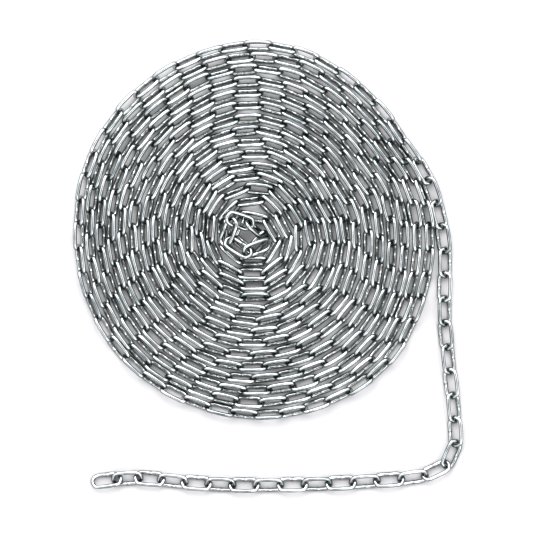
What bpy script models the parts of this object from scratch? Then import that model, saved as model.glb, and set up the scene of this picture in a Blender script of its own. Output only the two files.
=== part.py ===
"""Flat coil of welded steel chain with a free tail, as it lies on a level floor.

Metres, +Z up, floor at z = 0. The layout is worked out in millimetres.
"""
import math
import random
from itertools import product

import bmesh
import bpy
import numpy as np
from mathutils import Matrix

# Sizes of one link, in millimetres
MM = 0.001
WIRE = 4.0
LINK_OUTER_LENGTH = 33.0
LINK_OUTER_WIDTH = 16.6
CROWN_RADIUS = (LINK_OUTER_WIDTH - WIRE) / 2
CROWN_TO_CROWN = LINK_OUTER_LENGTH - WIRE
STRAIGHT_HALF = CROWN_TO_CROWN / 2 - CROWN_RADIUS

# Section of a coil link: a flat towards the eye and a ridge away from it
FLAT_INSET = 1.85
FLAT_HALF_WIDTH = 2.0
RIDGE_OUT = 2.0
LIGHT_FLAT_INSET = 1.4
LIGHT_HALF_WIDTH = 1.4

# Six-sided section of a single link, flat towards the eye: to its corners
TAIL_SECTION = 1.87
LOOSE_SECTION = 1.86
END_SECTION = 2.0 / math.cos(math.pi / 6)

# The way the chain lies, in millimetres from the coil's first centre
END_PITCHES = (19.6, 21.4)
TAIL_PITCHES = (24.45, 24.2, 23.9, 23.5, 23.0, 22.5, 22.0, 21.5, 21.0)
COIL_PITCHES = (24.2, 23.9, 23.6, 23.3, 23.0, 22.6, 22.2, 21.8, 21.4, 21.0)
END_ROLL = 30.0
ROLL_TAIL = 29.0
ROLL_OUTER = 58.0
ROLL_INNER = 66.0
ROLL_SPREAD = 5.0
ROLL_TRIES = (0, 2, -2, 4, -4, 6, -6, 8, -8, 11, -11, 14, -14, 18, -18, 22, -22)
INSETS = (0.0, 0.2, 0.4, 0.7, 1.0, 1.4, 1.8)
LIFTS = (0.0, 1.0, 2.0)
GAP_TO_NEIGHBOUR = 0.33
GAP_TO_NEXT = 0.1
GAP_IN_TAIL = 0.55
GAP_AT_NEW_TURN = 1.15
NEAR = 38.0
SEED = 11

# Free tail, from its end to where the coil takes over
TAIL_ROUTE = (
    (-165.8, -253.4), (-146.7, -251.4), (-125.9, -247.7), (-101.4, -249.8),
    (-77.9, -253.9), (-53.4, -254.9), (-28.9, -256.9), (-3.2, -256.5),
    (21.0, -256.3), (46.0, -256.0), (70.5, -255.0), (94.9, -254.0),
    (119.5, -251.8), (144.5, -250.5), (168.2, -248.2), (190.0, -239.8),
    (202.1, -221.0), (196.3, -199.6), (197.2, -175.1), (192.3, -151.9),
    (190.9, -126.9), (187.4, -103.7), (186.0, -79.6), (187.4, -53.7),
    (187.5, -29.4), (187.5, -4.0), (179.2, 19.7), (175.3, 43.3),
)

# Outer edge of the coil round its first centre: (degrees, radius)
COIL_EDGE = (
    (0, 188.8), (15, 183.5), (30, 175.5), (45, 177.0), (60, 181.0), (75, 187.0),
    (90, 190.0), (120, 187.5), (150, 186.0), (180, 185.0), (210, 188.5),
    (240, 190.0), (270, 192.0), (300, 191.5), (320, 190.5), (340, 182.5),
    (360, 177.1),
)
ROUTE_EASING = 190
HALF_TURN_WIDTH = 5.4
OUTER_RADIUS = 181.5
OUTER_SPACING = 11.4
INNER_SPACING = 9.7
EVEN_TURNS = 5.0
EASING_TURNS = 5.0
CENTRE_DRIFT = (-8.0, -5.0)
LAST_RADIUS = 22.0
LAST_TURN = 13

# Loose links in the middle, where the chain ends
LOOSE_LINKS = 5
LOOSE_REACH = 27.0
LOOSE_TOP = 30.0
LOOSE_NEAR = 59.0
FAR_CROWN = 12.0
LOOSE_SWING = 2.2
LOOSE_RISE = 0.7
LOOSE_TRIES = 80000
LOOSE_BATCH = 400
TOP_WEIGHT = 0.35
HEIGHT_WHIM = 2.5
LOOSE_SEED = 30
HELD_LOW = (5.0, -2.0, -2.0)
HELD_HIGH = (10.3, 2.0, 2.0)


def clear_scene():
    for item in list(bpy.data.objects):
        bpy.data.objects.remove(item, do_unlink=True)


def turn_drop(turns):
    """How far the spiral has come in after a number of turns."""
    eased = np.clip(turns - EVEN_TURNS, 0, EASING_TURNS)
    bend = (OUTER_SPACING - INNER_SPACING) / (2 * EASING_TURNS)
    drop = OUTER_SPACING * np.minimum(turns, EVEN_TURNS) + OUTER_SPACING * eased - bend * eased ** 2
    return drop + INNER_SPACING * np.maximum(turns - EVEN_TURNS - EASING_TURNS, 0)


def spiral_line(first_turn):
    """Guide line of the coil from where it takes over to its inner end."""
    turns = np.arange(first_turn, 20, 0.0002)
    mean = OUTER_RADIUS - turn_drop(turns)
    turns = turns[mean > LAST_RADIUS]
    mean = mean[mean > LAST_RADIUS]
    degrees = 360 * (turns % 1)
    angle = np.radians(degrees)
    edge = np.interp(degrees, [a for a, _ in COIL_EDGE], [r for _, r in COIL_EDGE])
    shape = edge - HALF_TURN_WIDTH + OUTER_SPACING * degrees / 360 - OUTER_RADIUS
    wave = np.sin(5 * angle + mean / 25) + 0.6 * np.sin(9 * angle - mean / 18)
    radius = mean + shape * mean / OUTER_RADIUS + 0.8 * wave * np.minimum(turns, 1)
    inward = 1 - mean / OUTER_RADIUS
    x = radius * np.cos(angle) + CENTRE_DRIFT[0] * inward
    y = radius * np.sin(angle) + CENTRE_DRIFT[1] * inward
    return np.stack((x, y, -np.cos(angle), -np.sin(angle), turns), axis=1)


def eased(values):
    """Running mean that takes the corners off the tail's route."""
    padded = np.pad(values, ROUTE_EASING, mode="edge")
    weights = np.ones(2 * ROUTE_EASING + 1) / (2 * ROUTE_EASING + 1)
    return np.convolve(padded, weights, mode="valid")


def guide_line():
    """The whole chain's guide line: x, y, the way inwards, and turns of the coil."""
    route = np.array(TAIL_ROUTE)
    steps = np.arange(0, len(route) - 1, 0.005)
    x = eased(np.interp(steps, np.arange(len(route)), route[:, 0]))
    y = eased(np.interp(steps, np.arange(len(route)), route[:, 1]))
    none = np.zeros_like(x)
    tail = np.stack((x, y, none, none, none - 1), axis=1)
    first_turn = math.atan2(route[-1][1], route[-1][0]) / math.tau
    return np.concatenate((tail, spiral_line(first_turn)))


def link_frames(start, end, rolls, lift):
    """Placings of a link between two joints, one a roll; unless lifted, it lies on the floor."""
    along = np.append((end - start) / np.linalg.norm(end - start), 0)
    side = np.array((-along[1], along[0], 0))
    across = np.outer(np.cos(rolls), side) + np.outer(np.sin(rolls), (0, 0, 1))
    along = np.broadcast_to(along, across.shape)
    height = CROWN_RADIUS * np.abs(np.sin(rolls)) + WIRE / 2 + lift
    centre = np.column_stack((np.broadcast_to((start + end) / 2, (len(rolls), 2)), height))
    return np.stack((along, across, np.cross(along, across), centre), axis=2)


def centre_loop(fineness=1):
    """Points on the centre line of one link, for measuring clearances."""
    bend = np.linspace(-math.pi / 2, math.pi / 2, 8 * fineness + 1)
    x = STRAIGHT_HALF + CROWN_RADIUS * np.cos(bend)
    y = CROWN_RADIUS * np.sin(bend)
    side = np.linspace(STRAIGHT_HALF, -STRAIGHT_HALF, 6 * fineness + 1)[1:-1]
    level = np.full(len(side), CROWN_RADIUS)
    xs = np.concatenate((x, side, -x[::-1], -side))
    ys = np.concatenate((y, level, y[::-1], -level))
    return np.stack((xs, ys, np.zeros_like(xs)))


def set_loops(frames, ring):
    """The centre line's points on each placed link."""
    return frames[:, :, :3] @ ring + frames[:, :, 3:]


def room_left(loops, others, wanted):
    """Least clearance of each loop from the others, less what is wanted from the last of them."""
    if not len(others):
        return np.full(len(loops), 9.0)
    count = loops.shape[2]
    a = loops.transpose(2, 0, 1).reshape(-1, 3)
    b = others.transpose(2, 0, 1).reshape(-1, 3)
    square = (a ** 2).sum(axis=1)[:, None] + (b ** 2).sum(axis=1) - 2 * a @ b.T
    least = square.reshape(count, len(loops), count, len(others)).min(axis=0).min(axis=1)
    least = np.sqrt(np.maximum(least, 0)) - WIRE - GAP_TO_NEIGHBOUR
    least[:, -1] += GAP_TO_NEIGHBOUR - wanted
    return least.min(axis=1)


def link_choices(number, turns):
    """Pitches, insets and rolls to try for a link, best liked first."""
    chance = random.Random(SEED * 1000 + number)
    if number == 0:
        return END_PITCHES[:1], [0.0], [END_ROLL]
    if turns < 0:
        wished = ROLL_TAIL + chance.uniform(-4, 4)
        pitches = END_PITCHES[1:] if number == 1 else TAIL_PITCHES
        return pitches, [0.0], [wished + more for more in ROLL_TRIES]
    settled = min(turns / (EVEN_TURNS + EASING_TURNS), 1)
    wished = chance.gauss(ROLL_OUTER + (ROLL_INNER - ROLL_OUTER) * settled, ROLL_SPREAD)
    return COIL_PITCHES, INSETS, [wished + more for more in ROLL_TRIES]


def lay_links():
    """Lays the links from the tail's end inwards: (placing, turns) of each."""
    line = guide_line()
    ring = centre_loop()
    index = 0
    inset = 0.0
    start = line[0][:2]
    placed = []
    loops = np.zeros((0, 3, ring.shape[1]))
    turn_before = -1.0
    while True:
        turn = line[index][4]
        lean = 1 if len(placed) % 2 else -1
        pitches, insets, rolls = link_choices(len(placed), turn)
        tilts = np.radians(np.array(rolls) * lean)
        wanted = GAP_IN_TAIL if turn < 0 else GAP_TO_NEXT
        if min(int(turn), LAST_TURN) > min(math.floor(turn_before), LAST_TURN) and turn >= 0:
            wanted = GAP_AT_NEW_TURN
        centres = loops.mean(axis=2)
        ahead = line[index:index + 4000]
        best = None
        others = None
        for lift, more in product(LIFTS, insets):
            points = ahead[:, :2] + (inset + more) * ahead[:, 2:4]
            away = np.hypot(*(points - start).T)
            if away.max() < max(pitches):
                return placed
            for pitch in pitches:
                step = int(np.argmax(away >= pitch))
                if others is None:
                    middle = (start + points[step]) / 2
                    others = loops[np.hypot(*(centres[:, :2] - middle).T) < NEAR]
                frames = link_frames(start, points[step], tilts, lift)
                found = set_loops(frames, ring)
                room = room_left(found, others, wanted)
                good = np.flatnonzero(room >= 0)
                pick = good[0] if len(good) else np.argmax(room)
                if best is None or room[pick] > best[0]:
                    best = (room[pick], frames[pick], found[pick], index + step, points[step], inset + more)
                if len(good):
                    break
            if best[0] >= 0:
                break
        _, frame, loop, index, start, inset = best
        placed.append((frame, turn))
        turn_before = turn
        loops = np.concatenate((loops, loop[None]))


def loose_tries(before, chance):
    """Placings to try for a link that hangs in the eye of the one before it, turned any way."""
    swing = chance.uniform(-LOOSE_SWING, LOOSE_SWING, LOOSE_TRIES)
    heading = math.atan2(before[1, 0], before[0, 0]) + swing
    rise = chance.uniform(-LOOSE_RISE, LOOSE_RISE, LOOSE_TRIES)
    roll = chance.uniform(0, math.pi, LOOSE_TRIES)
    level = np.zeros(LOOSE_TRIES)
    along = np.stack((np.cos(heading) * np.cos(rise), np.sin(heading) * np.cos(rise), np.sin(rise)), axis=1)
    side = np.stack((-np.sin(heading), np.cos(heading), level), axis=1)
    across = side * np.cos(roll)[:, None] + np.cross(along, side) * np.sin(roll)[:, None]
    held = chance.uniform(HELD_LOW, HELD_HIGH, (LOOSE_TRIES, 3))
    crown = held @ before[:, :3].T + before[:, 3]
    centre = crown + along * CROWN_TO_CROWN / 2
    return np.stack((along, across, np.cross(along, across), centre), axis=2)


def threaded(before, loops):
    """Which loops pass once through the eye of the link before them."""
    here = (loops - before[:, 3][:, None]).transpose(0, 2, 1) @ before[:, :3]
    there = np.roll(here, -1, axis=1)
    crossing = here[:, :, 2] * there[:, :, 2] < 0
    share = here[:, :, 2] / np.where(crossing, here[:, :, 2] - there[:, :, 2], 1)
    met = here + share[:, :, None] * (there - here)
    beyond = np.maximum(np.abs(met[:, :, 0]) - STRAIGHT_HALF, 0)
    inside = np.hypot(beyond, met[:, :, 1]) < CROWN_RADIUS
    return (crossing & inside).sum(axis=1) % 2 == 1


def lay_loose_links(placed):
    """Lays the chain's inner end: loose links, each as low as it finds room. Gives their placings."""
    chance = np.random.default_rng(LOOSE_SEED)
    ring = centre_loop(2)
    frames = np.array(placed)
    away = np.hypot(*(frames[:, :2, 3] - CENTRE_DRIFT).T)
    loops = set_loops(frames[away < LOOSE_NEAR], ring)
    loose = []
    while len(loose) < LOOSE_LINKS:
        before = loose[-1] if loose else frames[-1]
        tries = loose_tries(before, chance)
        centres = tries[:, :2, 3] - CENTRE_DRIFT
        ends = centres + tries[:, :2, 0] * FAR_CROWN
        tries = tries[np.maximum(np.hypot(*ends.T), np.hypot(*centres.T)) < LOOSE_REACH]
        found = set_loops(tries, ring)
        fits = (found[:, 2].min(axis=1) >= WIRE / 2) & (found[:, 2].max(axis=1) < LOOSE_TOP)
        fits &= threaded(before, found)
        tries = tries[fits]
        found = found[fits]
        height = found[:, 2].mean(axis=1) + TOP_WEIGHT * found[:, 2].max(axis=1)
        order = np.argsort(height + chance.uniform(0, HEIGHT_WHIM, len(found)))
        for batch in np.array_split(order, len(order) // LOOSE_BATCH + 1):
            room = room_left(found[batch], loops, GAP_TO_NEIGHBOUR)
            room[room < 0] = np.inf
            if room.min() < np.inf:
                break
        if room.min() == np.inf:
            raise ValueError("A loose link found no room.")
        pick = batch[np.argmin(room)]
        loose.append(tries[pick])
        loops = np.concatenate((loops, found[pick:pick + 1]))
    return loose


def closed_line(name, points):
    """Flat closed polyline through the given points."""
    line = bpy.data.curves.new(name, "CURVE")
    line.dimensions = "2D"
    line.fill_mode = "NONE"
    spline = line.splines.new("POLY")
    spline.points.add(len(points) - 1)
    for point, (x, y) in zip(spline.points, points):
        point.co = (x, y, 0, 1)
    spline.use_cyclic_u = True
    return line


def mirrored(crown):
    """Closed centre line of a link from the corners of its right-hand crown."""
    return crown + [(-x, -y) for x, y in crown]


def plain_path():
    """Centre line of a coil link: two straight sides and cut-off crowns."""
    tip = CROWN_TO_CROWN / 2
    corner = 0.42 * CROWN_RADIUS
    return mirrored([(STRAIGHT_HALF, -CROWN_RADIUS), (tip, -corner), (tip, corner), (STRAIGHT_HALF, CROWN_RADIUS)])


def round_path():
    """Centre line of a link of the free tail, with rounder crowns."""
    angles = [math.radians(degrees) for degrees in (-90, -54, -18, 18, 54, 90)]
    return mirrored([(STRAIGHT_HALF + CROWN_RADIUS * math.cos(a), CROWN_RADIUS * math.sin(a)) for a in angles])


def ridged(inset, half_width):
    """Three corners of a section with a flat towards the eye of the link."""
    return [(inset, half_width), (-RIDGE_OUT, 0), (inset, -half_width)]


def six_sided(radius):
    """Six corners of a section with a flat towards the eye of the link."""
    angles = [math.radians(30 + 60 * step) for step in range(6)]
    return [(radius * math.cos(angle), radius * math.sin(angle)) for angle in angles]


def swept_link(name, collection, path, section):
    """Mesh of one link: the section carried round the link's path."""
    line = closed_line(name, path)
    holder = bpy.data.objects.new(name, line)
    profile = bpy.data.objects.new(name + "_section", closed_line(name + "_section", section))
    collection.objects.link(holder)
    collection.objects.link(profile)
    line.bevel_mode = "OBJECT"
    line.bevel_object = profile
    swept = holder.evaluated_get(bpy.context.evaluated_depsgraph_get())
    mesh = bpy.data.meshes.new_from_object(swept)
    bpy.data.objects.remove(holder, do_unlink=True)
    bpy.data.objects.remove(profile, do_unlink=True)
    return mesh


def inner_crown_faces(template):
    """Numbers of the two faces in which a coil link meets its neighbours."""
    flat = [face for face in template.polygons if abs(face.center.y) < 0.01 and abs(face.center.z) < 0.01]
    flat.sort(key=lambda face: face.center.x)
    return flat[0].index, flat[-1].index


def add_link(bm, template, placing):
    """Adds a placed copy of the template; returns its faces."""
    old_verts = len(bm.verts)
    old_faces = len(bm.faces)
    bm.from_mesh(template)
    bm.verts.ensure_lookup_table()
    bm.faces.ensure_lookup_table()
    matrix = Matrix((*placing.tolist(), (0, 0, 0, 1)))
    bmesh.ops.transform(bm, matrix=matrix, verts=bm.verts[old_verts:])
    return bm.faces[old_faces:]


def join_crowns(bm, first, second):
    """Joins two crowns that bear on each other by a short neck."""
    rims = list(first.edges) + list(second.edges)
    bmesh.ops.delete(bm, geom=[first, second], context="FACES_ONLY")
    neck = bmesh.ops.bridge_loops(bm, edges=rims)["faces"]
    bmesh.ops.triangulate(bm, faces=neck)


def add_node(name, bm, collection, material):
    """Finishes a node's mesh, in metres, with its faces outwards."""
    bmesh.ops.scale(bm, vec=(MM, MM, MM), verts=bm.verts)
    bmesh.ops.recalc_face_normals(bm, faces=bm.faces)
    mesh = bpy.data.meshes.new(name)
    bm.to_mesh(mesh)
    bm.free()
    mesh.materials.append(material)
    node = bpy.data.objects.new(name, mesh)
    collection.objects.link(node)
    return node


def build_single_link(name, placing, template, collection, material):
    bm = bmesh.new()
    add_link(bm, template, placing)
    return add_node(name, bm, collection, material)


def build_turn(name, placings, full, light, collection, material):
    """One turn of the coil: its links, joined where their crowns bear."""
    left, right = inner_crown_faces(full)
    bm = bmesh.new()
    meeting = []
    for number, placing in enumerate(placings):
        at_end = number in (0, len(placings) - 1)
        faces = add_link(bm, light if at_end else full, placing)
        meeting.append((faces[left], faces[right]))
    for before, after in zip(meeting, meeting[1:]):
        join_crowns(bm, before[1], after[0])
    return add_node(name, bm, collection, material)


def steel_material():
    material = bpy.data.materials.new("zinc_plated_steel")
    material.use_nodes = True
    surface = material.node_tree.nodes["Principled BSDF"]
    surface.inputs["Base Color"].default_value = (0.72, 0.74, 0.75, 1)
    surface.inputs["Metallic"].default_value = 1.0
    surface.inputs["Roughness"].default_value = 0.32
    return material


def centre_on_origin(nodes):
    """Shifts every node alike, so that the whole is centred over the origin."""
    corners = np.array([v.co for node in nodes for v in node.data.vertices])
    middle = (corners.min(axis=0) + corners.max(axis=0)) / 2
    for node in nodes:
        node.data.transform(Matrix.Translation((-middle[0], -middle[1], 0)))


def build():
    clear_scene()
    collection = bpy.data.collections.new("coiled_steel_chain")
    bpy.context.scene.collection.children.link(collection)
    material = steel_material()
    coil_link = swept_link("coil_link", collection, plain_path(), ridged(FLAT_INSET, FLAT_HALF_WIDTH))
    light_link = swept_link("light_link", collection, plain_path(), ridged(LIGHT_FLAT_INSET, LIGHT_HALF_WIDTH))
    tail_link = swept_link("tail_link", collection, round_path(), six_sided(TAIL_SECTION))
    loose_link = swept_link("loose_link", collection, round_path(), six_sided(LOOSE_SECTION))
    end_link = swept_link("end_link", collection, round_path(), six_sided(END_SECTION))
    links = lay_links()
    nodes = []
    turns = {}
    for number, (placing, turn) in enumerate(links):
        if turn < 0:
            name = f"tail_link_{number + 1:02d}" if number else "end_link"
            template = tail_link if number else end_link
            nodes.append(build_single_link(name, placing, template, collection, material))
        else:
            turns.setdefault(min(int(turn), LAST_TURN), []).append(placing)
    for turn, placings in turns.items():
        name = f"turn_{turn + 1:02d}"
        nodes.append(build_turn(name, placings, coil_link, light_link, collection, material))
    for number, placing in enumerate(lay_loose_links([placing for placing, _ in links])):
        name = f"inner_link_{number + 1}"
        nodes.append(build_single_link(name, placing, loose_link, collection, material))
    centre_on_origin(nodes)


build()
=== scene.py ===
"""Flat coil of zinc-plated welded chain with a free tail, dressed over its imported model.

Metres, +Z up, floor at z = 0. The file runs as a script and is laid out as an add-on, so that
its sizes and colours stand in the sidebar and each piece can be made again from there.
"""

import math
import random
from functools import lru_cache
from itertools import product

import bpy
import numpy as np
from bpy.props import FloatProperty, FloatVectorProperty, PointerProperty
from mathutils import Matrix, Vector


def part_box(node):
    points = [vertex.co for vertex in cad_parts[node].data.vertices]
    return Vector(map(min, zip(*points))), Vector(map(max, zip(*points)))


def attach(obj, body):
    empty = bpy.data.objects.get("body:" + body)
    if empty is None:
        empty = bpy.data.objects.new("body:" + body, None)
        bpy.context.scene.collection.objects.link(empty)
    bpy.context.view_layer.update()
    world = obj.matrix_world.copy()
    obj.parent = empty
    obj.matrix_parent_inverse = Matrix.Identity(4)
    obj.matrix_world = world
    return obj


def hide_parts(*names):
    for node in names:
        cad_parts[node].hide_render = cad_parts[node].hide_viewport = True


bl_info = {
    "name": "Coiled welded chain",
    "version": (1, 0, 0),
    "blender": (4, 5, 0),
    "location": "View3D > Sidebar > Chain",
    "description": "Makes a flat coil of zinc-plated chain, its free tail and a plain studio round it",
    "category": "Object",
}

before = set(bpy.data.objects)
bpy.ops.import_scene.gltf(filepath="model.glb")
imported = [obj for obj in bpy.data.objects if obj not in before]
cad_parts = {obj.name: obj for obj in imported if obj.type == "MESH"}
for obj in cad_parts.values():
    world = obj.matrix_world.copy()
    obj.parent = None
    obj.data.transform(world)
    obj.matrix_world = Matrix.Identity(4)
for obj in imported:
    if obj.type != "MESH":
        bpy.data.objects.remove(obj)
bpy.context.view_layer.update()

# The chain's own sizes, in millimetres
MM = 0.001
WIRE = 4.0
LINK_OUTER_LENGTH = 33.0
LINK_OUTER_WIDTH = 16.6
CROWN_RADIUS = (LINK_OUTER_WIDTH - WIRE) / 2
CROWN_TO_CROWN = LINK_OUTER_LENGTH - WIRE
STRAIGHT_HALF = CROWN_TO_CROWN / 2 - CROWN_RADIUS

# The way the chain lies, in millimetres from the coil's first centre: the same as the solids.
# Pitches are tried longest first, and rolls, in degrees from flat, round the one wished for. An inset
# moves a joint inwards off the guide line, and a lift raises a link off the floor. Only links whose
# centres are nearer than NEAR are tested for room.
END_PITCHES = (19.6, 21.4)
TAIL_PITCHES = (24.45, 24.2, 23.9, 23.5, 23.0, 22.5, 22.0, 21.5, 21.0)
COIL_PITCHES = (24.2, 23.9, 23.6, 23.3, 23.0, 22.6, 22.2, 21.8, 21.4, 21.0)
END_ROLL = 30.0
ROLL_TAIL = 29.0
ROLL_TAIL_SPREAD = 4.0
ROLL_OUTER = 58.0
ROLL_INNER = 66.0
ROLL_SPREAD = 5.0
ROLL_TRIES = (0, 2, -2, 4, -4, 6, -6, 8, -8, 11, -11, 14, -14, 18, -18, 22, -22)
INSETS = (0.0, 0.2, 0.4, 0.7, 1.0, 1.4, 1.8)
LIFTS = (0.0, 1.0, 2.0)
GAP_TO_NEIGHBOUR = 0.33
GAP_TO_NEXT = 0.1
GAP_IN_TAIL = 0.55
GAP_AT_NEW_TURN = 1.15
AMPLE_ROOM = 9.0
NEAR = 38.0
LOOK_AHEAD = 4000
SEED = 11

# Free tail, from its end to where the coil takes over
TAIL_ROUTE = (
    (-165.8, -253.4), (-146.7, -251.4), (-125.9, -247.7), (-101.4, -249.8),
    (-77.9, -253.9), (-53.4, -254.9), (-28.9, -256.9), (-3.2, -256.5),
    (21.0, -256.3), (46.0, -256.0), (70.5, -255.0), (94.9, -254.0),
    (119.5, -251.8), (144.5, -250.5), (168.2, -248.2), (190.0, -239.8),
    (202.1, -221.0), (196.3, -199.6), (197.2, -175.1), (192.3, -151.9),
    (190.9, -126.9), (187.4, -103.7), (186.0, -79.6), (187.4, -53.7),
    (187.5, -29.4), (187.5, -4.0), (179.2, 19.7), (175.3, 43.3),
)

# The route is read in steps of a part of the way from point to point, and eased over steps to both sides
ROUTE_STEP = 0.005
ROUTE_EASING = 190

# Outer edge of the coil round its first centre: (degrees, radius)
COIL_EDGE = (
    (0, 188.8), (15, 183.5), (30, 175.5), (45, 177.0), (60, 181.0), (75, 187.0),
    (90, 190.0), (120, 187.5), (150, 186.0), (180, 185.0), (210, 188.5),
    (240, 190.0), (270, 192.0), (300, 191.5), (320, 190.5), (340, 182.5),
    (360, 177.1),
)

# The spiral comes in evenly at first and more closely further in, and its centre drifts on the way
HALF_TURN_WIDTH = 5.4
OUTER_RADIUS = 181.5
OUTER_SPACING = 11.4
INNER_SPACING = 9.7
EVEN_TURNS = 5.0
EASING_TURNS = 5.0
CENTRE_DRIFT = (-8.0, -5.0)
LAST_RADIUS = 22.0
LAST_TURN = 13
SPIRAL_STEP = 0.0002
MOST_TURNS = 20

# Two waves that keep the turns from lying too evenly: how many go round, how much radius, in
# millimetres, shifts them by a radian, and their heights against the first
WAVE_HEIGHT = 0.8
WAVES = ((5, 25.0, 1.0), (9, -18.0, 0.6))

# Loose links in the middle, where the chain ends. Their centres and far crowns stay within LOOSE_REACH
# of the middle and under LOOSE_TOP, clear of the links within LOOSE_NEAR. Each turns from the one before
# it by a swing and rises by an angle, both in radians, and hangs in a small box in its eye. A placing is
# liked for its mean height, part of its top height and a whim.
LOOSE_LINKS = 5
LOOSE_REACH = 27.0
LOOSE_TOP = 30.0
LOOSE_NEAR = 59.0
FAR_CROWN = 12.0
LOOSE_SWING = 2.2
LOOSE_RISE = 0.7
LOOSE_TRIES = 80000
LOOSE_BATCH = 400
TOP_WEIGHT = 0.35
HEIGHT_WHIM = 2.5
LOOSE_SEED = 30
HELD_LOW = (5.0, -2.0, -2.0)
HELD_HIGH = (10.3, 2.0, 2.0)

# Cage of one link: places along each crown, in degrees, and places round the wire
CROWN_PLACES = (-90, -45, 0, 45, 90)
ROUND_PLACES = 6
WELD_REACH = 2.3
WELD_LEAN = (0.0, -0.6, 0.0)

# Plating: how fine its patches and grain are, the shade's share in the patches, the share of painted shade,
# faintly yellow-green, on the wire's side towards the eye, the lines' stretch along and round the wire, the
# grain's share in the relief, the relief's strength and its depth in metres, and how much rougher the lines
# make it
PATCHES = 120.0
GRAIN = 900.0
SHADE_SHARE = 0.45
EYE_SHADE = 0.3
LINE_STRETCH = (60, 9, 1)
GRAIN_SHARE = 0.35
RELIEF = 0.08
RELIEF_DEPTH = 0.0001
ROUGHER = 0.1

# The photograph's width in pixels, each taken as 1 mm at half the coil's height, and the camera's
# place in metres and sensor in millimetres
PHOTO_WIDTH = 533
COIL_MIDDLE = 8.7
CAMERA_OVER = (-0.0022, 0.0005)
SENSOR_WIDTH = 36.0

# Studio, in metres: the floor's half side, and each soft light's place and size
FLOOR_HALF = 4.0
KEY_PLACE = (-0.25, 1.0, 1.2)
KEY_SIZE = 1.4
FILL_PLACE = (0.6, -0.9, 1.3)
FILL_SIZE = 0.9

# Light tent's brightness against the sine of the height above the horizon, and its share to -Y and +Y
SKY_BAND = (
    (0.0, 0.3), (0.25, 0.26), (0.35, 0.85), (0.7, 1.05), (0.9, 1.1), (0.96, 0.7), (0.97, 0.05), (1.0, 0.02),
)
SKY_NEAR = 0.55
SKY_FAR = 1.4


class ChainLinkSizes(bpy.types.PropertyGroup):
    """Sizes of one link that can be changed without moving the chain."""

    wire: FloatProperty(
        name="Wire", description="Diameter of the wire", default=WIRE * MM, min=0.001, unit="LENGTH"
    )
    outer_length: FloatProperty(
        name="Length", description="Outer length of a link", default=LINK_OUTER_LENGTH * MM, unit="LENGTH"
    )
    outer_width: FloatProperty(
        name="Width", description="Outer width of a link", default=LINK_OUTER_WIDTH * MM, unit="LENGTH"
    )
    weld_rise: FloatProperty(
        name="Weld rise", description="How far the weld stands proud of the wire", default=0.0006,
        unit="LENGTH"
    )


class ChainSteelFinish(bpy.types.PropertyGroup):
    """Colours and gloss of the plating."""

    plating: FloatVectorProperty(
        name="Plating", description="Bright zinc plating", default=(0.433, 0.448, 0.453),
        subtype="COLOR", size=3, min=0, max=1
    )
    dull: FloatVectorProperty(
        name="Dull patches", description="Where the plating is greyer", default=(0.21, 0.23, 0.238),
        subtype="COLOR", size=3, min=0, max=1
    )
    # Eye side: a darker, yellow-green colour on the wire's side towards each link's eye, painted there as
    # shade
    eye_shade_tint: FloatVectorProperty(
        name="Eye side", description="Faint yellow tint towards the eye of each link",
        default=(0.36, 0.375, 0.33), subtype="COLOR", size=3, min=0, max=1
    )
    weld: FloatVectorProperty(
        name="Weld", description="Burnt steel round the weld", default=(0.22, 0.235, 0.245),
        subtype="COLOR", size=3, min=0, max=1
    )
    roughness: FloatProperty(
        name="Roughness", description="Roughness of the bright plating", default=0.1, min=0, max=1,
        subtype="FACTOR"
    )


class ChainStudioLook(bpy.types.PropertyGroup):
    """The floor, the light and the camera."""

    floor: FloatVectorProperty(
        name="Floor", description="Colour of the floor", default=(0.42, 0.417, 0.427),
        subtype="COLOR", size=3, min=0, max=1
    )
    room: FloatProperty(
        name="Room light", description="Strength of the even light from all round", default=1.6
    )
    key: FloatProperty(
        name="Key light", description="Power of the main soft light", default=13.5, unit="POWER"
    )
    fill: FloatProperty(
        name="Fill light", description="Power of the weaker soft light", default=4.0, unit="POWER"
    )
    height: FloatProperty(
        name="Camera height", description="Height of the camera above the chain", default=1.8, unit="LENGTH"
    )


# The way the chain lies


def turn_drop(turns):
    """How far the spiral has come in after a number of turns: even at first, then closer and closer."""
    eased = np.clip(turns - EVEN_TURNS, 0, EASING_TURNS)
    bend = (OUTER_SPACING - INNER_SPACING) / (2 * EASING_TURNS)
    drop = OUTER_SPACING * np.minimum(turns, EVEN_TURNS) + OUTER_SPACING * eased - bend * eased ** 2
    return drop + INNER_SPACING * np.maximum(turns - EVEN_TURNS - EASING_TURNS, 0)


def spiral_line(first_turn):
    """Guide line of the coil.

    The radius falls with the angle, and follows the outer edge's shape and two waves.
    """
    turns = np.arange(first_turn, MOST_TURNS, SPIRAL_STEP)
    mean = OUTER_RADIUS - turn_drop(turns)
    turns = turns[mean > LAST_RADIUS]
    mean = mean[mean > LAST_RADIUS]
    degrees = 360 * (turns % 1)
    angle = np.radians(degrees)
    edge = np.interp(degrees, [a for a, _ in COIL_EDGE], [r for _, r in COIL_EDGE])
    shape = edge - HALF_TURN_WIDTH + OUTER_SPACING * degrees / 360 - OUTER_RADIUS
    wave = sum(part * np.sin(bends * angle + mean / fall) for bends, fall, part in WAVES)
    radius = mean + shape * mean / OUTER_RADIUS + WAVE_HEIGHT * wave * np.minimum(turns, 1)
    inward = 1 - mean / OUTER_RADIUS
    x = radius * np.cos(angle) + CENTRE_DRIFT[0] * inward
    y = radius * np.sin(angle) + CENTRE_DRIFT[1] * inward
    return np.stack((x, y, -np.cos(angle), -np.sin(angle), turns), axis=1)


def eased(values):
    """Running mean that takes the corners off the tail's route."""
    padded = np.pad(values, ROUTE_EASING, mode="edge")
    weights = np.ones(2 * ROUTE_EASING + 1) / (2 * ROUTE_EASING + 1)
    return np.convolve(padded, weights, mode="valid")


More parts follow.
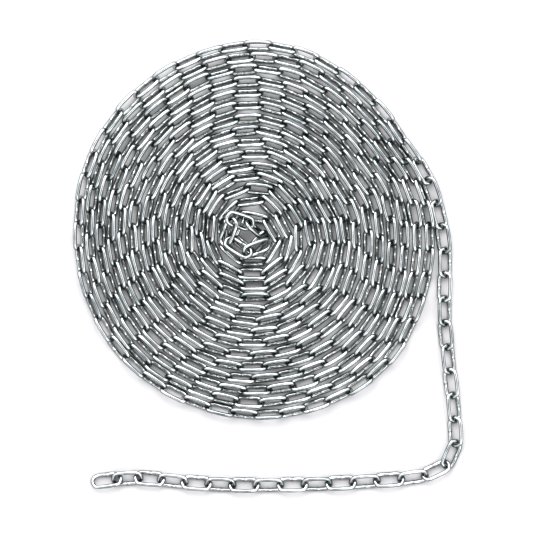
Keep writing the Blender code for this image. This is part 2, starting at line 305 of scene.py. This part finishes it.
def guide_line():
    """The whole chain's guide line: x, y, the way inwards, and turns of the coil."""
    route = np.array(TAIL_ROUTE)
    steps = np.arange(0, len(route) - 1, ROUTE_STEP)
    x = eased(np.interp(steps, np.arange(len(route)), route[:, 0]))
    y = eased(np.interp(steps, np.arange(len(route)), route[:, 1]))
    none = np.zeros_like(x)
    tail = np.stack((x, y, none, none, none - 1), axis=1)
    first_turn = math.atan2(route[-1][1], route[-1][0]) / math.tau
    return np.concatenate((tail, spiral_line(first_turn)))


def centre_loop(fineness=1):
    """Points on the centre line of one link: two half circles and two straight sides."""
    bend = np.linspace(-math.pi / 2, math.pi / 2, 8 * fineness + 1)
    x = STRAIGHT_HALF + CROWN_RADIUS * np.cos(bend)
    y = CROWN_RADIUS * np.sin(bend)
    side = np.linspace(STRAIGHT_HALF, -STRAIGHT_HALF, 6 * fineness + 1)[1:-1]
    level = np.full(len(side), CROWN_RADIUS)
    xs = np.concatenate((x, side, -x[::-1], -side))
    ys = np.concatenate((y, level, y[::-1], -level))
    return np.stack((xs, ys, np.zeros_like(xs)))


def set_loops(placings, ring):
    """The centre line's points on each placed link: its directions times the points, plus its centre."""
    return placings[:, :, :3] @ ring + placings[:, :, 3:]


def link_placings(start, end, rolls, lift):
    """A link between two joints, once for each roll: along, across, normal and centre as columns.

    Across leans from level by the roll, and the centre's height puts the low side on the floor.
    """
    along = np.append((end - start) / np.linalg.norm(end - start), 0)
    side = np.array((-along[1], along[0], 0))
    across = np.outer(np.cos(rolls), side) + np.outer(np.sin(rolls), (0, 0, 1))
    along = np.broadcast_to(along, across.shape)
    height = CROWN_RADIUS * np.abs(np.sin(rolls)) + WIRE / 2 + lift
    middle = np.broadcast_to((start + end) / 2, (len(rolls), 2))
    centre = np.column_stack((middle, height))
    return np.stack((along, across, np.cross(along, across), centre), axis=2)


def room_left(loops, others, wanted):
    """Least clearance of each loop from the others, less what is wanted from the last of them."""
    if not len(others):
        return np.full(len(loops), AMPLE_ROOM)
    count = loops.shape[2]
    a = loops.transpose(2, 0, 1).reshape(-1, 3)
    b = others.transpose(2, 0, 1).reshape(-1, 3)
    square = (a ** 2).sum(axis=1)[:, None] + (b ** 2).sum(axis=1) - 2 * a @ b.T
    least = square.reshape(count, len(loops), count, len(others)).min(axis=0).min(axis=1)
    least = np.sqrt(np.maximum(least, 0)) - WIRE - GAP_TO_NEIGHBOUR
    least[:, -1] += GAP_TO_NEIGHBOUR - wanted
    return least.min(axis=1)


def link_choices(number, turns):
    """Pitches, insets and rolls to try for a link, best liked first."""
    chance = random.Random(SEED * 1000 + number)
    if number == 0:
        return END_PITCHES[:1], [0.0], [END_ROLL]
    if turns < 0:
        wished = ROLL_TAIL + chance.uniform(-ROLL_TAIL_SPREAD, ROLL_TAIL_SPREAD)
        pitches = END_PITCHES[1:] if number == 1 else TAIL_PITCHES
        return pitches, [0.0], [wished + more for more in ROLL_TRIES]
    settled = min(turns / (EVEN_TURNS + EASING_TURNS), 1)
    wished = chance.gauss(ROLL_OUTER + (ROLL_INNER - ROLL_OUTER) * settled, ROLL_SPREAD)
    return COIL_PITCHES, INSETS, [wished + more for more in ROLL_TRIES]


def best_placing(ahead, start, inset, choices, lean, loops, wanted):
    """First choice that leaves room, or the roomiest, or None where the guide line ends.

    A choice is its room, placing, loop, step along the line, joint and inset.
    """
    pitches, insets, rolls = choices
    tilts = np.radians(np.array(rolls) * lean)
    ring = centre_loop()
    centres = loops.mean(axis=2)[:, :2]
    best = None
    others = None
    for lift, more in product(LIFTS, insets):
        points = ahead[:, :2] + (inset + more) * ahead[:, 2:4]
        away = np.hypot(points[:, 0] - start[0], points[:, 1] - start[1])
        if away.max() < max(pitches):
            return None
        for pitch in pitches:
            step = int(np.argmax(away >= pitch))
            if others is None:
                others = loops[np.linalg.norm(centres - (start + points[step]) / 2, axis=1) < NEAR]
            placings = link_placings(start, points[step], tilts, lift)
            found = set_loops(placings, ring)
            room = room_left(found, others, wanted)
            good = np.flatnonzero(room >= 0)
            pick = int(good[0]) if len(good) else int(np.argmax(room))
            if best is None or room[pick] > best[0]:
                best = (room[pick], placings[pick], found[pick], step, points[step], inset + more)
            if len(good):
                return best
    return best


@lru_cache(maxsize=1)
def lay_links():
    """Lays the links from the tail's end inwards, each clear of those before it: (placings, turns).

    They lean to one side and to the other by turns, and stop where the guide line is too short for one more.
    """
    line = guide_line()
    index = 0
    inset = 0.0
    start = line[0][:2]
    placings = []
    turns = []
    loops = np.zeros((0, 3, centre_loop().shape[1]))
    while True:
        turn = line[index][4]
        choices = link_choices(len(placings), turn)
        wanted = GAP_IN_TAIL if turn < 0 else GAP_TO_NEXT
        before = turns[-1] if turns else -1.0
        if turn >= 0 and min(int(turn), LAST_TURN) > min(math.floor(before), LAST_TURN):
            wanted = GAP_AT_NEW_TURN
        lean = 1 if len(placings) % 2 else -1
        best = best_placing(line[index:index + LOOK_AHEAD], start, inset, choices, lean, loops, wanted)
        if best is None:
            return np.array(placings), np.array(turns)
        _, placing, loop, step, start, inset = best
        placings.append(placing)
        turns.append(turn)
        loops = np.concatenate((loops, loop[None]))
        index += step


def loose_tries(before, chance):
    """Placings to try for a link that hangs in the eye of the one before it, turned any way.

    Heading, rise and roll are drawn evenly; the near crown's middle is drawn from a small box in the eye.
    """
    swing = chance.uniform(-LOOSE_SWING, LOOSE_SWING, LOOSE_TRIES)
    heading = math.atan2(before[1, 0], before[0, 0]) + swing
    rise = chance.uniform(-LOOSE_RISE, LOOSE_RISE, LOOSE_TRIES)
    roll = chance.uniform(0, math.pi, LOOSE_TRIES)
    level = np.zeros(LOOSE_TRIES)
    along = np.stack((np.cos(heading) * np.cos(rise), np.sin(heading) * np.cos(rise), np.sin(rise)), axis=1)
    side = np.stack((-np.sin(heading), np.cos(heading), level), axis=1)
    across = side * np.cos(roll)[:, None] + np.cross(along, side) * np.sin(roll)[:, None]
    held = chance.uniform(HELD_LOW, HELD_HIGH, (LOOSE_TRIES, 3))
    crown = held @ before[:, :3].T + before[:, 3]
    centre = crown + along * CROWN_TO_CROWN / 2
    return np.stack((along, across, np.cross(along, across), centre), axis=2)


def threaded(before, loops):
    """Which loops hang in the eye of the link before them: an odd number of crossings inside it."""
    here = (loops - before[:, 3][:, None]).transpose(0, 2, 1) @ before[:, :3]
    there = np.roll(here, -1, axis=1)
    crossing = here[:, :, 2] * there[:, :, 2] < 0
    share = here[:, :, 2] / np.where(crossing, here[:, :, 2] - there[:, :, 2], 1)
    met = here + share[:, :, None] * (there - here)
    beyond = np.maximum(np.abs(met[:, :, 0]) - STRAIGHT_HALF, 0)
    inside = np.hypot(beyond, met[:, :, 1]) < CROWN_RADIUS
    return (crossing & inside).sum(axis=1) % 2 == 1


def lay_loose_links(placings):
    """Lays the chain's inner end: loose links, each as low as it finds room. Gives their placings."""
    chance = np.random.default_rng(LOOSE_SEED)
    ring = centre_loop(2)
    away = np.hypot(*(placings[:, :2, 3] - CENTRE_DRIFT).T)
    loops = set_loops(placings[away < LOOSE_NEAR], ring)
    loose = []
    while len(loose) < LOOSE_LINKS:
        before = loose[-1] if loose else placings[-1]
        tries = loose_tries(before, chance)
        centres = tries[:, :2, 3] - CENTRE_DRIFT
        ends = centres + tries[:, :2, 0] * FAR_CROWN
        tries = tries[np.maximum(np.hypot(*ends.T), np.hypot(*centres.T)) < LOOSE_REACH]
        found = set_loops(tries, ring)
        fits = (found[:, 2].min(axis=1) >= WIRE / 2) & (found[:, 2].max(axis=1) < LOOSE_TOP)
        fits &= threaded(before, found)
        tries = tries[fits]
        found = found[fits]
        height = found[:, 2].mean(axis=1) + TOP_WEIGHT * found[:, 2].max(axis=1)
        order = np.argsort(height + chance.uniform(0, HEIGHT_WHIM, len(found)))
        for batch in np.array_split(order, len(order) // LOOSE_BATCH + 1):
            room = room_left(found[batch], loops, GAP_TO_NEIGHBOUR)
            room[room < 0] = np.inf
            if room.min() < np.inf:
                break
        if room.min() == np.inf:
            raise ValueError("A loose link found no room.")
        pick = batch[np.argmin(room)]
        loose.append(tries[pick])
        loops = np.concatenate((loops, found[pick:pick + 1]))
    return np.array(loose)


@lru_cache(maxsize=1)
def placed_links():
    """Every link's placing in metres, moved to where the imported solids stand, and its turn of the coil.

    The middle of the end link's own solid gives the shift. The loose links come last, with no turn.
    """
    placings, turns = lay_links()
    placings = np.concatenate((placings, lay_loose_links(placings)))
    turns = np.concatenate((turns, np.full(LOOSE_LINKS, np.nan)))
    low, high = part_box("end_link")
    there = np.array((low + high)[:2]) / 2
    placings[:, :, 3] *= MM
    placings[:, :2, 3] += there - placings[0, :2, 3]
    return placings, turns


# Surfaces


def link_cages(sizes, turned):
    """Cages of the links, 13 places along the wire by 6 round it, and what each point carries.

    The surface is centre(s) + radius * way(s, t), with way = cos t * out(s) + sin t * normal: the centre
    line is two half circles and two straight sides. The radius is the wire's, and at the weld it grows
    by the rise times how far the way looks up and to the eye, so the weld's nub never meets the floor.
    The cage is worked back from it, so that the subdivided surface passes through these very points: with
    weights (1, 4, 1) / 6 along and round, both sets of equations are solved for the cage.
    """
    crown = (sizes.outer_width - sizes.wire) / 2
    half = (sizes.outer_length - sizes.wire) / 2 - crown
    reach = WELD_REACH * MM
    bend = np.radians(CROWN_PLACES)
    out = np.stack((np.cos(bend), np.sin(bend)), axis=1)
    right = crown * out + (half, 0)
    side = np.array(((reach, crown), (0, crown), (-reach, crown)))
    centre = np.concatenate((right, side, -right))
    facing = np.concatenate((out, np.tile((0.0, 1.0), (3, 1)), -out))
    at_weld = np.zeros(len(centre))
    at_weld[len(right) + 1] = 1
    turn = np.arange(ROUND_PLACES) * math.tau / ROUND_PLACES
    level = np.cos(turn)[:, None] * facing[:, None]
    up = np.broadcast_to(np.sin(turn)[:, None], level.shape[:2] + (1,))
    way = np.concatenate((level, up), axis=2)
    rising = turned[:, 2] + np.array(WELD_LEAN)
    rising /= np.linalg.norm(rising, axis=1)[:, None]
    rise = sizes.weld_rise * at_weld[None, :, None] * np.clip(np.einsum("nj,ikj->nik", rising, way), 0, 1)
    target = (sizes.wire / 2 + rise)[:, :, :, None] * way
    target[:, :, :, :2] += centre[None, :, None]
    cages = np.einsum("ij,njkc->nikc", worked_back(len(centre)), target)
    cages = np.einsum("ij,nkjc->nkic", worked_back(ROUND_PLACES), cages)
    # How far each point faces its link's eye: the plating is painted darker and yellow-green there, as
    # painted shade
    eye_side = np.clip(-np.cos(turn), 0, 1) * np.ones((len(centre), 1))
    weld = at_weld[:, None] * np.ones(ROUND_PLACES)
    gone = np.linalg.norm(np.diff(centre, axis=0, append=centre[:1]), axis=1)
    length = np.concatenate(((0,), np.cumsum(gone)))
    return cages, eye_side, weld, length


def worked_back(count):
    """Inverse of the closed running mean with weights (1, 4, 1) / 6."""
    step = np.eye(count)
    return np.linalg.inv((4 * step + np.roll(step, 1, axis=0) + np.roll(step, -1, axis=0)) / 6)


def chain_piece(name, placings, number, sizes, material):
    """One object of links: each cage times its link's three directions, plus its centre.

    The weld goes to the side of the link that lies low, and every link has its own shade.
    """
    flips = np.where(placings[:, 2, 1] > 0, -1.0, 1.0)
    turned = placings[:, :, :3].copy()
    turned[:, :, :2] *= flips[:, None, None]
    cages, eye_side, weld, length = link_cages(sizes, turned)
    along, around = cages.shape[1:3]
    points = np.einsum("nij,nskj->nski", turned, cages) + placings[:, None, None, :, 3]
    i = np.arange(along)[:, None]
    j = np.arange(around)[None, :]
    corners = np.stack((i + 0 * j, (i + 1) + 0 * j, (i + 1) + 0 * j, i + 0 * j), axis=2)
    rounds = np.stack((j + 0 * i, j + 0 * i, (j + 1) + 0 * i, (j + 1) + 0 * i), axis=2)
    quads = ((corners % along) * around + rounds % around).reshape(-1, 4)
    uv = np.stack((length[corners], rounds / around), axis=3).reshape(-1, 2)
    links = len(placings)
    faces = (quads[None] + along * around * np.arange(links)[:, None, None]).reshape(-1, 4)
    mesh = bpy.data.meshes.new(name)
    mesh.from_pydata(points.reshape(-1, 3), [], faces)
    shades = np.array([random.Random(SEED + 7 * (number + k)).random() for k in range(links)])
    carried = {
        "shade": np.repeat(shades, along * around),
        "eye_side": np.tile(eye_side.ravel(), links),
        "weld": np.tile(weld.ravel(), links),
    }
    for key, values in carried.items():
        mesh.attributes.new(key, "FLOAT", "POINT").data.foreach_set("value", values.astype(np.float32))
    layer = mesh.uv_layers.new(name="wire")
    layer.data.foreach_set("uv", np.tile(uv, (links, 1)).astype(np.float32).ravel())
    mesh.shade_smooth()
    mesh.materials.append(material)
    piece = bpy.data.objects.new(name, mesh)
    bpy.context.scene.collection.objects.link(piece)
    smooth = piece.modifiers.new("Round wire", "SUBSURF")
    smooth.levels = smooth.render_levels = 1
    return piece


def fit_to_frame(piece, node):
    """The piece rides on the chain's one body in place of its plain solid."""
    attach(piece, "root")
    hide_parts(node)


# Materials


def link_nodes(tree, kind, at, **values):
    """A node of a kind, placed, with its settings and constant inputs set."""
    node = tree.nodes.new(kind)
    node.location = at
    for key, value in values.items():
        if hasattr(node, key):
            setattr(node, key, value)
        else:
            node.inputs[key.replace("_", " ")].default_value = value
    return node


def plating_colour(tree, place, finish):
    """Grey patches and each link's own shade, painted shade with a faint yellow-green tint towards the eye,
    and a burnt weld.
    """
    join = tree.links.new
    patches = link_nodes(tree, "ShaderNodeTexNoise", (-1100, 250), Scale=PATCHES, Detail=3.0)
    shade = link_nodes(tree, "ShaderNodeAttribute", (-1100, 480), attribute_name="shade")
    eye = link_nodes(tree, "ShaderNodeAttribute", (-1100, 650), attribute_name="eye_side")
    weld = link_nodes(tree, "ShaderNodeAttribute", (-1100, 820), attribute_name="weld")
    join(place.outputs["Object"], patches.inputs["Vector"])
    dulled = link_nodes(tree, "ShaderNodeMath", (-900, 300), operation="MULTIPLY_ADD")
    dulled.inputs[1].default_value = SHADE_SHARE
    join(shade.outputs["Fac"], dulled.inputs[0])
    join(patches.outputs["Fac"], dulled.inputs[2])
    dull_range = link_nodes(tree, "ShaderNodeMapRange", (-700, 300), From_Min=0.45, From_Max=1.15)
    join(dulled.outputs[0], dull_range.inputs["Value"])
    greyed = link_nodes(tree, "ShaderNodeMix", (-500, 300), data_type="RGBA")
    greyed.inputs[6].default_value = (*finish.plating, 1)
    greyed.inputs[7].default_value = (*finish.dull, 1)
    join(dull_range.outputs["Result"], greyed.inputs[0])
    # Painted shade: the wire's side towards the eye is mixed towards a darker, yellow-green colour
    eye_shading = link_nodes(tree, "ShaderNodeMath", (-500, 600), operation="MULTIPLY")
    eye_shading.inputs[1].default_value = EYE_SHADE
    join(eye.outputs["Fac"], eye_shading.inputs[0])
    eye_shaded = link_nodes(tree, "ShaderNodeMix", (-300, 400), data_type="RGBA")
    eye_shaded.inputs[7].default_value = (*finish.eye_shade_tint, 1)
    join(eye_shading.outputs[0], eye_shaded.inputs[0])
    join(greyed.outputs[2], eye_shaded.inputs[6])
    burning = link_nodes(tree, "ShaderNodeMapRange", (-500, 820), From_Min=0.15, From_Max=0.6, To_Max=0.75)
    join(weld.outputs["Fac"], burning.inputs["Value"])
    burnt = link_nodes(tree, "ShaderNodeMix", (-100, 500), data_type="RGBA")
    burnt.inputs[7].default_value = (*finish.weld, 1)
    join(burning.outputs["Result"], burnt.inputs[0])
    join(eye_shaded.outputs[2], burnt.inputs[6])
    return burnt.outputs[2]


def drawn_lines(tree):
    """Fine lines along the wire, from its own UV: length by turn round it."""
    wire = link_nodes(tree, "ShaderNodeUVMap", (-1500, -200), uv_map="wire")
    stretch = link_nodes(tree, "ShaderNodeMapping", (-1300, -200), Scale=LINE_STRETCH)
    lines = link_nodes(tree, "ShaderNodeTexNoise", (-1100, -200), Scale=1.0, Detail=4.0)
    tree.links.new(wire.outputs["UV"], stretch.inputs["Vector"])
    tree.links.new(stretch.outputs["Vector"], lines.inputs["Vector"])
    return lines.outputs["Fac"]


def plating_relief(tree, place, lines):
    """Bump of the plating: the drawn lines and a finer grain."""
    grain = link_nodes(tree, "ShaderNodeTexNoise", (-1100, -450), Scale=GRAIN, Detail=2.0)
    mixed = link_nodes(tree, "ShaderNodeMath", (-700, -350), operation="MULTIPLY_ADD")
    mixed.inputs[1].default_value = GRAIN_SHARE
    bump = link_nodes(tree, "ShaderNodeBump", (-300, -350), Strength=RELIEF, Distance=RELIEF_DEPTH)
    tree.links.new(place.outputs["Object"], grain.inputs["Vector"])
    tree.links.new(grain.outputs["Fac"], mixed.inputs[0])
    tree.links.new(lines, mixed.inputs[2])
    tree.links.new(mixed.outputs[0], bump.inputs["Height"])
    return bump.outputs["Normal"]


def steel_material(finish):
    """Bright zinc plating on drawn wire, made once and shared by every link."""
    known = bpy.data.materials.get("zinc_plated_wire")
    if known:
        return known
    material = bpy.data.materials.new("zinc_plated_wire")
    material.use_nodes = True
    tree = material.node_tree
    surface = tree.nodes["Principled BSDF"]
    surface.inputs["Metallic"].default_value = 1.0
    place = link_nodes(tree, "ShaderNodeTexCoord", (-1500, 200))
    lines = drawn_lines(tree)
    rough = link_nodes(tree, "ShaderNodeMapRange", (-500, -100), From_Min=0.3, From_Max=0.75)
    rough.inputs["To Min"].default_value = finish.roughness
    rough.inputs["To Max"].default_value = finish.roughness + ROUGHER
    tree.links.new(lines, rough.inputs["Value"])
    tree.links.new(plating_colour(tree, place, finish), surface.inputs["Base Color"])
    tree.links.new(rough.outputs["Result"], surface.inputs["Roughness"])
    tree.links.new(plating_relief(tree, place, lines), surface.inputs["Normal"])
    return material


def floor_material(look):
    """Pale matt floor with the faintest unevenness of tone."""
    material = bpy.data.materials.new("pale_floor")
    material.use_nodes = True
    tree = material.node_tree
    surface = tree.nodes["Principled BSDF"]
    surface.inputs["Roughness"].default_value = 0.9
    surface.inputs["Specular IOR Level"].default_value = 0.1
    place = link_nodes(tree, "ShaderNodeTexCoord", (-800, 0))
    tone = link_nodes(tree, "ShaderNodeTexNoise", (-600, 0), Scale=3.0)
    mix = link_nodes(tree, "ShaderNodeMix", (-300, 0), data_type="RGBA")
    mix.inputs[6].default_value = (*look.floor, 1)
    mix.inputs[7].default_value = (*(0.97 * value for value in look.floor), 1)
    tree.links.new(place.outputs["Object"], tone.inputs["Vector"])
    tree.links.new(tone.outputs["Fac"], mix.inputs[0])
    tree.links.new(mix.outputs[2], surface.inputs["Base Color"])
    return material


# Operators


class CHAIN_OT_end_link(bpy.types.Operator):
    """Make the last link of the tail, by which the chain is hooked or carried."""

    bl_idname = "chain.end_link"
    bl_label = "End link"

    def execute(self, context):
        scene = context.scene
        placings, _ = placed_links()
        material = steel_material(scene.chain_finish)
        piece = chain_piece("end_link_wire", placings[:1], 0, scene.chain_link, material)
        fit_to_frame(piece, "end_link")
        return {"FINISHED"}


class CHAIN_OT_tail_links(bpy.types.Operator):
    """Make the other links of the tail, each a piece of its own."""

    bl_idname = "chain.tail_links"
    bl_label = "Tail links"

    def execute(self, context):
        scene = context.scene
        placings, turns = placed_links()
        material = steel_material(scene.chain_finish)
        for number in range(1, int((turns < 0).sum())):
            name = f"tail_link_{number + 1:02d}"
            link = placings[number:number + 1]
            piece = chain_piece(name + "_wire", link, number, scene.chain_link, material)
            fit_to_frame(piece, name)
        return {"FINISHED"}


class CHAIN_OT_coil_turns(bpy.types.Operator):
    """Make the coil, one piece for each turn."""

    bl_idname = "chain.coil_turns"
    bl_label = "Coil"

    def execute(self, context):
        scene = context.scene
        placings, turns = placed_links()
        material = steel_material(scene.chain_finish)
        for turn in range(LAST_TURN + 1):
            chosen = (turns >= 0) & (np.minimum(np.floor(turns), LAST_TURN) == turn)
            first = int(np.argmax(chosen))
            name = f"turn_{turn + 1:02d}"
            piece = chain_piece(name + "_wire", placings[chosen], first, scene.chain_link, material)
            fit_to_frame(piece, name)
        return {"FINISHED"}


class CHAIN_OT_inner_links(bpy.types.Operator):
    """Make the loose links heaped in the middle of the coil, each a piece of its own."""

    bl_idname = "chain.inner_links"
    bl_label = "Inner links"

    def execute(self, context):
        scene = context.scene
        placings, turns = placed_links()
        material = steel_material(scene.chain_finish)
        first = len(turns) - LOOSE_LINKS
        for number in range(first, len(turns)):
            name = f"inner_link_{number - first + 1}"
            link = placings[number:number + 1]
            piece = chain_piece(name + "_wire", link, number, scene.chain_link, material)
            fit_to_frame(piece, name)
        return {"FINISHED"}


def soft_light(name, at, size, power):
    """A square soft light that looks at the chain."""
    light = bpy.data.lights.new(name, "AREA")
    light.shape = "SQUARE"
    light.size = size
    light.energy = power
    lamp = bpy.data.objects.new(name, light)
    lamp.location = at
    lamp.rotation_mode = "QUATERNION"
    lamp.rotation_quaternion = (-Vector(at)).to_track_quat("-Z", "Y")
    lamp.visible_camera = False
    bpy.context.scene.collection.objects.link(lamp)


def tent_world(look):
    """Light tent: dim round the horizon, bright above it, dark overhead, and brighter towards +Y."""
    world = bpy.data.worlds.new("light_tent")
    world.use_nodes = True
    tree = world.node_tree
    join = tree.links.new
    place = link_nodes(tree, "ShaderNodeTexCoord", (-1000, 0))
    parts = link_nodes(tree, "ShaderNodeSeparateXYZ", (-800, 0))
    ramp = link_nodes(tree, "ShaderNodeValToRGB", (-600, 100))
    join(place.outputs["Generated"], parts.inputs[0])
    join(parts.outputs["Z"], ramp.inputs[0])
    band = ramp.color_ramp
    band.elements.remove(band.elements[-1])
    band.elements[0].position = SKY_BAND[0][0]
    for at, _ in SKY_BAND[1:]:
        band.elements.new(at)
    for element, (_, value) in zip(band.elements, SKY_BAND):
        element.color = (value, value, value, 1)
    side = link_nodes(tree, "ShaderNodeMapRange", (-600, -200), From_Min=-1.0, From_Max=1.0)
    side.inputs["To Min"].default_value = look.room * SKY_NEAR
    side.inputs["To Max"].default_value = look.room * SKY_FAR
    join(parts.outputs["Y"], side.inputs["Value"])
    sky = tree.nodes["Background"]
    join(ramp.outputs["Color"], sky.inputs["Color"])
    join(side.outputs["Result"], sky.inputs["Strength"])
    return world


class CHAIN_OT_stage(bpy.types.Operator):
    """Make the floor, the soft lights and the camera straight above the chain."""

    bl_idname = "chain.stage"
    bl_label = "Stage"

    def execute(self, context):
        scene = context.scene
        look = scene.chain_look
        mesh = bpy.data.meshes.new("floor")
        corners = [(x * FLOOR_HALF, y * FLOOR_HALF, 0) for x, y in ((-1, -1), (1, -1), (1, 1), (-1, 1))]
        mesh.from_pydata(corners, [], [(0, 1, 2, 3)])
        mesh.materials.append(floor_material(look))
        floor = bpy.data.objects.new("floor", mesh)
        scene.collection.objects.link(floor)
        scene.world = tent_world(look)
        soft_light("key", KEY_PLACE, KEY_SIZE, look.key)
        soft_light("fill", FILL_PLACE, FILL_SIZE, look.fill)
        scene.view_settings.view_transform = "Standard"
        scene.view_settings.look = "Very High Contrast"
        camera = bpy.data.cameras.new("overhead")
        camera.sensor_width = SENSOR_WIDTH
        camera.lens = camera.sensor_width * look.height / (PHOTO_WIDTH * MM)
        stand = bpy.data.objects.new("overhead", camera)
        stand.location = (*CAMERA_OVER, COIL_MIDDLE * MM + look.height)
        scene.collection.objects.link(stand)
        scene.camera = stand
        return {"FINISHED"}


class CHAIN_PT_sidebar(bpy.types.Panel):
    """Sizes, colours and makers of the chain."""

    bl_label = "Coiled chain"
    bl_idname = "CHAIN_PT_sidebar"
    bl_space_type = "VIEW_3D"
    bl_region_type = "UI"
    bl_category = "Chain"

    def draw(self, context):
        scene = context.scene
        for group in (scene.chain_link, scene.chain_finish, scene.chain_look):
            box = self.layout.box()
            for key in group.__annotations__:
                box.prop(group, key)
        for maker in MAKERS:
            self.layout.operator(maker.bl_idname)


GROUPS = (ChainLinkSizes, ChainSteelFinish, ChainStudioLook)
MAKERS = (CHAIN_OT_end_link, CHAIN_OT_tail_links, CHAIN_OT_coil_turns, CHAIN_OT_inner_links, CHAIN_OT_stage)


def register():
    for kind in (*GROUPS, *MAKERS, CHAIN_PT_sidebar):
        bpy.utils.register_class(kind)
    bpy.types.Scene.chain_link = PointerProperty(type=ChainLinkSizes)
    bpy.types.Scene.chain_finish = PointerProperty(type=ChainSteelFinish)
    bpy.types.Scene.chain_look = PointerProperty(type=ChainStudioLook)


def unregister():
    del bpy.types.Scene.chain_look
    del bpy.types.Scene.chain_finish
    del bpy.types.Scene.chain_link
    for kind in reversed((*GROUPS, *MAKERS, CHAIN_PT_sidebar)):
        bpy.utils.unregister_class(kind)


def main():
    register()
    bpy.ops.chain.end_link()
    bpy.ops.chain.tail_links()
    bpy.ops.chain.coil_turns()
    bpy.ops.chain.inner_links()
    bpy.ops.chain.stage()


if __name__ == "__main__":
    main()
